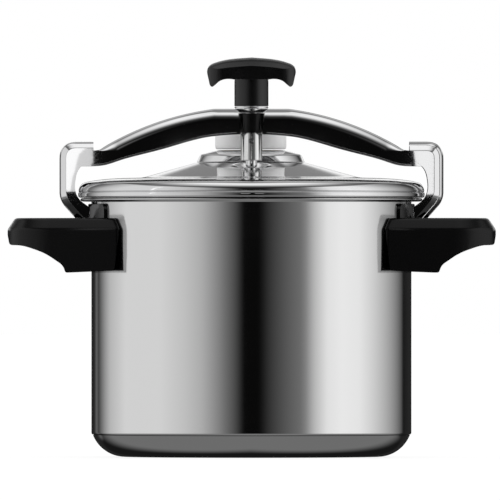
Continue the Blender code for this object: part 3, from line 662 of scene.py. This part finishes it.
def yoke_channel():
    flat = [YOKE_FLAT * i / 8 for i in range(1, 8)]
    stations = flat + [YOKE_FLAT + (0.102 - YOKE_FLAT) * i / 36 for i in range(37)]
    crown = [(x, yoke_top(x)) for x in stations]
    toe = softened([
        (*crown[-1], 0), (0.1072, 0.2143, 0.0028), (0.1132, 0.2143, 0.0012), (0.1150, 0.2177, 0.0006),
        (0.1240, 0.2177, 0.001), (0.1250, 0.2165, 0.0006), (0.1250, 0.2062, 0.001), (0.1215, 0.2033, 0),
    ], 6)[1:]
    under = smooth(YOKE_UNDER, 10)
    right = [*crown, *toe, *under]
    left = [(-x, z) for x, z in reversed(right[:-1])]
    piece = prism("yoke", right + left, -YOKE_HALF_WIDTH, YOKE_HALF_WIDTH)
    crowned(piece, YOKE_HALF_WIDTH, 0)
    inner = [(x, yoke_top(x, YOKE_SHEET)) for x in stations]
    half = [*inner, (0.1080, 0.2115), (0.1110, 0.2112), (0.1110, 0.1900)]
    inside = YOKE_HALF_WIDTH - YOKE_SHEET
    hollow = prism("hollow", half + [(-x, z) for x, z in reversed(half)], -inside, inside)
    crowned(hollow, inside, YOKE_SHEET)
    piece = helper("yoke", combined(piece, [("DIFFERENCE", hollow)]))
    bm = bmesh.new()
    bm.from_mesh(piece.data)
    bmesh.ops.triangulate(bm, faces=[f for f in bm.faces if len(f.verts) > 4])
    bm.to_mesh(piece.data)
    bm.free()
    notch = [(-0.0092, 0.2406), (0.0092, 0.2406), (0.0077, 0.2266), (0.0076, 0.2220), (-0.0076, 0.2220), (-0.0077, 0.2266)]
    mesh = combined(piece, [
        ("DIFFERENCE", prism("notch", notch, -0.02, 0.02)),
        ("DIFFERENCE", rod("hole", (0, 0, 0.235), (0, 0, 0.250), 0.0068)),
    ])
    made = finish_piece("yoke_channel_fine", mesh, POLISH, "yoke", ["yoke_channel"], 34)
    even_normals(made)


def yoke_beads():
    """The flanges' lower edges are rolled into a thin bead."""
    reach = [(x, z) for x, z in smooth(YOKE_UNDER, 10) if x > 0.0084]
    for word, y in (("front", -0.0103), ("back", 0.0103)):
        for turn, side in (("left", -1), ("right", 1)):
            points = [(side * x, y, z + 0.0008) for x, z in reach]
            mesh = tube_along("bead", points, 0.00085)
            finish_piece(f"yoke_bead_{word}_{turn}", mesh, POLISH, "yoke", [])


def yoke_fittings():
    bore, lip = 0.0053, 0.0045
    ring = softened([
        (bore, 0.2433, 0), (0.0066, 0.2433, 0), (0.0066, 0.2263, 0), (0.0075, 0.2263, 0.0003),
        *[(0.0075, 0.2250 - 0.001 * k, 0) for k in range(17)],
        (0.0075, 0.2073, 0.0006), (lip, 0.2073, 0.0002), (lip, 0.2095, 0),
        *[(bore, 0.2095 + 0.002 * k, 0) for k in range(9)],
    ], 4, True)
    tube = helper("tube", lathe_mesh("tube", ring, MEDIUM, ring=True))
    mesh = combined(tube, [("DIFFERENCE", rod("window", (0, -0.009, 0.221), (0, -0.003, 0.221), 0.0021))])
    made = finish_piece("yoke_tube_fine", mesh, TUBE, "yoke", ["yoke_tube"], 30)
    even_normals(made)
    turned_piece("tube_shroud", [
        (0.0070, 0.2404, 0), (0.0098, 0.2404, 0.0003), (0.00815, 0.2266, 0.0004), (0.0070, 0.2266, 0),
    ], BLACK, "yoke")


# ---- screw, plunger and knob ----


def screw_fittings():
    low = YOKE_TOP + 0.0003
    turned_piece("knob_washer", [
        (0.0054, low + 0.0012, 0), (0.01175, low + 0.0012, 0.0003), (0.01175, low, 0.0003), (0.0054, low, 0),
    ], POLISH, "screw")
    profile = softened([
        (0, 0.2245, 0), (0.0026, 0.2245, 0.0004), (0.0026, 0.2102, 0), (0.00415, 0.2102, 0.0003),
        (0.00415, 0.2030, 0.0012), (0.0026, 0.2018, 0.001), (0, 0.2017, 0),
    ], 5)
    piece = helper("plunger", lathe_mesh("plunger", profile, MEDIUM))
    slot = [(-0.0013, -0.005), (0.0013, -0.005), (0.0013, 0.005), (-0.0013, 0.005)]
    mesh = combined(piece, [("DIFFERENCE", prism("slot", slot, 0.2184, 0.2223, True))])
    finish_piece("plunger_fine", mesh, POLISH, "plunger", ["plunger"])


def knob_outline(inset):
    """The bar from the front, its top lowered by the inset."""
    half = [
        (0, KNOB_TOP - inset, 0), (0.0180, 0.2782 - inset, 0.009), (0.0296, 0.2745 - inset * 0.8, 0.004),
        (KNOB_HALF, 0.2700, 0.0022), (0.0290, 0.2598, 0.0014), (0.0274, 0.2588, 0.0009), (0.0255, 0.2602, 0.0012),
        (0.0218, 0.2636, 0.003), (0.0165, 0.2648, 0.003), (0.0110, 0.2640, 0),
    ]
    return softened(half + [(-x, z, r) for x, z, r in reversed(half[1:])], 8, True)


def knob():
    """A T bar crowned along and across, with hooked wings, hollows below and a round stem."""
    crown = softened([(0.0062, 0, 0), (0.0056, 0.0004, 0.0003), (0.0010, 0.0052, 0.0030), (0, 0.0140, 0)], 6)
    half = [(inset, y - KNOB_DEPTH) for inset, y in crown]
    bm = bmesh.new()
    rings = [
        [bm.verts.new((x, y, z)) for x, z in knob_outline(inset)]
        for inset, y in half + [(inset, -y) for inset, y in reversed(half)]
    ]
    bm.faces.new(rings[0])
    bm.faces.new(rings[-1])
    for before, after in zip(rings, rings[1:]):
        for k in range(len(before)):
            bm.faces.new([before[k - 1], before[k], after[k], after[k - 1]])
    bmesh.ops.recalc_face_normals(bm, faces=bm.faces)
    bmesh.ops.triangulate(bm, faces=[f for f in bm.faces if len(f.verts) == 4])
    mesh = bpy.data.meshes.new("bar")
    bm.to_mesh(mesh)
    bm.free()
    plan = softened([
        (x * (KNOB_HALF + 0.0002), y * KNOB_DEPTH, 0.0125) for x, y in ((-1, -1), (1, -1), (1, 1), (-1, 1))
    ], 14, True)
    bar = helper("bar", combined(helper("bar", mesh), [("INTERSECT", prism("plan", plan, 0.24, 0.29, True))]))
    stem = softened([
        (0, 0.2700, 0), (0.0100, 0.2700, 0), (STEM_RADIUS, 0.2640, 0.002), (STEM_RADIUS, STEM_BOTTOM, 0.0005),
        (0, STEM_BOTTOM, 0),
    ], 4)
    steps = [("UNION", helper("stem", lathe_mesh("stem", stem, MEDIUM)))]
    for side in (-1, 1):
        hollow = softened([
            (side * 0.0150, -0.0105, 0.002), (side * 0.0258, -0.0085, 0.003), (side * 0.0258, 0.0085, 0.003),
            (side * 0.0150, 0.0105, 0.002),
        ], 4, True)
        steps.append(("DIFFERENCE", prism(f"hollow_{side}", hollow, 0.2500, 0.2705, True)))
    steps.append(("DIFFERENCE", rod("bore", (0, 0, 0.2400), (0, 0, 0.2584), 0.0053)))
    mesh = combined(bar, steps)
    made = finish_piece("knob_fine", mesh, KNOB, "screw", ["knob"], 40)
    made.visible_glossy = False
    even_normals(made)


# ---- CAD pieces that stay, with their own finishes ----


def carried_over():
    kept = {
        "base_core_disc": DISC, "lid_gasket": RUBBER, "valve_seal": RUBBER, "valve_stem": BRASS,
        "valve_nut": BRASS, "valve_needle": BRASS, "weight_core": BRASS, "valve_strainer": HUB,
        "spindle": SMALL_STEEL, "retaining_pin": SMALL_STEEL, "plunger_spring": SMALL_STEEL,
    }
    for word in ("left", "right"):
        kept[f"{word}_handle_screw"] = SMALL_STEEL
        kept[f"{word}_handle_washer"] = SMALL_STEEL
    for name, finish in kept.items():
        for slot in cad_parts[name].material_slots:
            slot.material = finish


# ---- studio ----

# brightness of the studio round the object: degrees from the camera's side, minus to its left
STUDIO = [
    (-180, 0.02), (-168, 0.02), (-152, 0.36), (-146, 0.05), (-138, 0.19), (-124, 0.54), (-104, 0.75), (-70, 0.75),
    (-50, 0.62), (-37, 0.49), (-19, 0.17), (-8, 0.02), (-6, 0.003), (5, 0.003), (8, 0.012), (20, 0.08), (35, 0.17),
    (39, 0.25), (46, 0.56), (56, 0.88), (68, 0.96), (84, 0.92), (97, 0.74), (120, 0.38), (137, 0.11), (142, 0.01),
    (180, 0.02),
]
# brightness by the sine of the height above the horizon: overhead in front, and behind the object
FRONT = [(0.44, 0.01), (0.57, 0.015), (0.70, 0.05), (0.81, 0.22), (0.90, 0.70), (0.966, 1.05), (0.996, 0.85)]
BEHIND = [
    (0.03, 0.02), (0.06, 0.30), (0.09, 0.95), (0.16, 0.95), (0.21, 0.25), (0.33, 0.22), (0.45, 0.35), (0.62, 0.60),
    (0.72, 0.42), (0.90, 0.18), (0.985, 0.30),
]


def eased(tree, source, start, end):
    """0 at start, 1 at end, eased between; start may be the larger."""
    made = node(tree, "ShaderNodeMapRange", interpolation_type="SMOOTHSTEP")
    flip = start > end
    made.inputs["From Min"].default_value = min(start, end)
    made.inputs["From Max"].default_value = max(start, end)
    made.inputs["To Min"].default_value = 1.0 if flip else 0.0
    made.inputs["To Max"].default_value = 0.0 if flip else 1.0
    link(tree, source, made.inputs["Value"])
    return made.outputs[0]


def mixed(tree, share, first, second):
    made = node(tree, "ShaderNodeMix", data_type="RGBA")
    link(tree, share, made.inputs[0])
    for slot, value in ((6, first), (7, second)):
        if isinstance(value, tuple):
            made.inputs[slot].default_value = value
        else:
            link(tree, value, made.inputs[slot])
    return made.outputs[2]


def graded(tree, source, table):
    """Brightness along the source, from a table that starts at 0 and ends at 1."""
    made = node(tree, "ShaderNodeValToRGB")
    stops = made.color_ramp.elements
    for place, bright in table[1:-1]:
        stops.new(place)
    for stop, (place, bright) in zip(stops, table):
        stop.color = (bright, bright, bright, 1)
    link(tree, source, made.inputs[0])
    return made.outputs[0]


def studio():
    """Tall soft panels left and right with a dark gap between, a soft top light, and a pale floor."""
    world = bpy.data.worlds.new("studio")
    bpy.context.scene.world = world
    world.use_nodes = True
    tree = world.node_tree
    tree.nodes.clear()
    place = node(tree, "ShaderNodeTexCoord").outputs["Generated"]
    parts = node(tree, "ShaderNodeSeparateXYZ")
    link(tree, place, parts.inputs[0])
    toward = math_node(tree, "MULTIPLY", parts.outputs["Y"], -1.0)
    angle = math_node(tree, "ARCTAN2", parts.outputs["X"], toward)
    turn = math_node(tree, "ADD", math_node(tree, "DIVIDE", angle, 2 * math.pi), 0.5)
    ramp = graded(tree, turn, [(degrees / 360 + 0.5, bright) for degrees, bright in STUDIO])
    height = parts.outputs["Z"]
    back = eased(tree, math_node(tree, "ABSOLUTE", angle), math.radians(138), math.radians(160))
    level = math_node(tree, "ADD", math_node(tree, "MULTIPLY", height, 0.5), 0.5)
    above, beyond = [
        graded(tree, level, [(0, table[0][1])] + [(z / 2 + 0.5, bright) for z, bright in table] + [(1, table[-1][1])])
        for table in (FRONT, BEHIND)
    ]
    aside = math_node(tree, "MULTIPLY", math_node(tree, "ABSOLUTE", parts.outputs["X"]), 0.45)
    sides = mixed(tree, eased(tree, math_node(tree, "SUBTRACT", height, aside), 0.36, 0.46), ramp, above)
    topped = mixed(tree, back, sides, beyond)
    across = math_node(tree, "MULTIPLY", math_node(tree, "ABSOLUTE", parts.outputs["X"]), 0.8)
    rear = math_node(tree, "SUBTRACT", parts.outputs["Y"], across)
    deep = mixed(tree, eased(tree, rear, 0.0, 0.55), (0.20, 0.20, 0.20, 1), (0.01, 0.01, 0.01, 1))
    around = mixed(tree, eased(tree, height, -0.22, -0.30), topped, deep)
    path = node(tree, "ShaderNodeLightPath")
    soft = mixed(tree, path.outputs["Is Diffuse Ray"], around, (1.14, 1.14, 1.14, 1))
    lit = node(tree, "ShaderNodeBackground", Strength=1.0)
    link(tree, soft, lit.inputs[0])
    plain = node(tree, "ShaderNodeBackground", Strength=1.0)
    plain.inputs[0].default_value = (1, 1, 1, 1)
    chosen = node(tree, "ShaderNodeMixShader")
    link(tree, path.outputs["Is Camera Ray"], chosen.inputs[0])
    link(tree, lit.outputs[0], chosen.inputs[1])
    link(tree, plain.outputs[0], chosen.inputs[2])
    link(tree, chosen.outputs[0], node(tree, "ShaderNodeOutputWorld").inputs[0])

    floor = bpy.data.meshes.new("floor")
    bm = bmesh.new()
    bmesh.ops.create_circle(bm, cap_ends=True, segments=96, radius=30)
    bm.to_mesh(floor)
    bm.free()
    pale, _, shader = new_material("pale_floor", (0.14, 0.14, 0.14), 0.0, 0.9)
    shader.inputs["Emission Color"].default_value = (1, 1, 1, 1)
    shader.inputs["Emission Strength"].default_value = 0.86
    floor.materials.append(pale)
    piece = bpy.data.objects.new("floor", floor)
    piece.location = (0, 0, -0.0002)
    piece.visible_glossy = False
    bpy.context.scene.collection.objects.link(piece)


def card(name, corners, bright):
    """A plain card beside the object, seen only in its polished faces: white, or black for 0."""
    mesh = bpy.data.meshes.new(name)
    mesh.from_pydata(corners, [], [tuple(range(len(corners)))])
    finish = bpy.data.materials.new(name)
    finish.use_nodes = True
    tree = finish.node_tree
    tree.nodes.clear()
    glow = node(tree, "ShaderNodeEmission", Strength=bright)
    link(tree, glow.outputs[0], node(tree, "ShaderNodeOutputMaterial").inputs[0])
    mesh.materials.append(finish)
    piece = bpy.data.objects.new(name, mesh)
    piece.visible_camera = False
    piece.visible_diffuse = False
    piece.visible_shadow = False
    bpy.context.scene.collection.objects.link(piece)


def cards():
    y = -0.120
    card("left_hook_card", [(-0.1190, y, 0.186), (-0.1440, y, 0.186), (-0.1440, y, 0.232), (-0.1130, y, 0.232)], 1.15)
    card("right_hook_card", [(0.1190, y, 0.184), (0.1300, y, 0.184), (0.1300, y, 0.232), (0.1130, y, 0.232)], 1.0)
    y = -0.118
    card("left_hook_tip", [
        (-0.1108, y, 0.2185), (-0.1170, y, 0.2160), (-0.1207, y, 0.2120), (-0.1221, y, 0.2073), (-0.1235, y, 0.2008),
        (-0.1254, y, 0.1953), (-0.1268, y, 0.1860), (-0.1180, y, 0.1860), (-0.1140, y, 0.1980), (-0.1108, y, 0.2070),
    ], 0.72)
    y = -0.44
    for word, side in (("left", -1), ("right", 1)):
        card(f"{word}_hub_card", [
            (side * 0.0090, y, 0.1960), (side * 0.0500, y, 0.1960), (side * 0.0500, y, 0.2125), (side * 0.0090, y, 0.2125),
        ], 1.1)


def camera():
    distance, eye, across = 14.0, 0.1250, 0.350
    data = bpy.data.cameras.new("camera")
    data.sensor_width = 36
    data.lens = 36 * distance / across
    data.clip_end = 60
    piece = bpy.data.objects.new("camera", data)
    bpy.context.scene.collection.objects.link(piece)
    turn = math.radians(-0.5)
    piece.location = (distance * math.sin(turn), -distance * math.cos(turn), eye)
    target = Vector((-0.0010, 0, 0.1447))
    piece.rotation_euler = (target - piece.location).to_track_quat("-Z", "Y").to_euler()
    bpy.context.scene.camera = piece


def build():
    pot_body()
    base_cap()
    for word, side, fold in (("left", -1, 0.0046), ("right", 1, 0.0066)):
        mount_plate(word, side)
        hook(word, side, fold)
        handle(word, side)
    lid_shell()
    lid_fittings()
    yoke_channel()
    yoke_beads()
    yoke_fittings()
    screw_fittings()
    knob()
    carried_over()
    studio()
    cards()
    camera()
    bpy.context.scene.view_settings.view_transform = "Standard"


build()
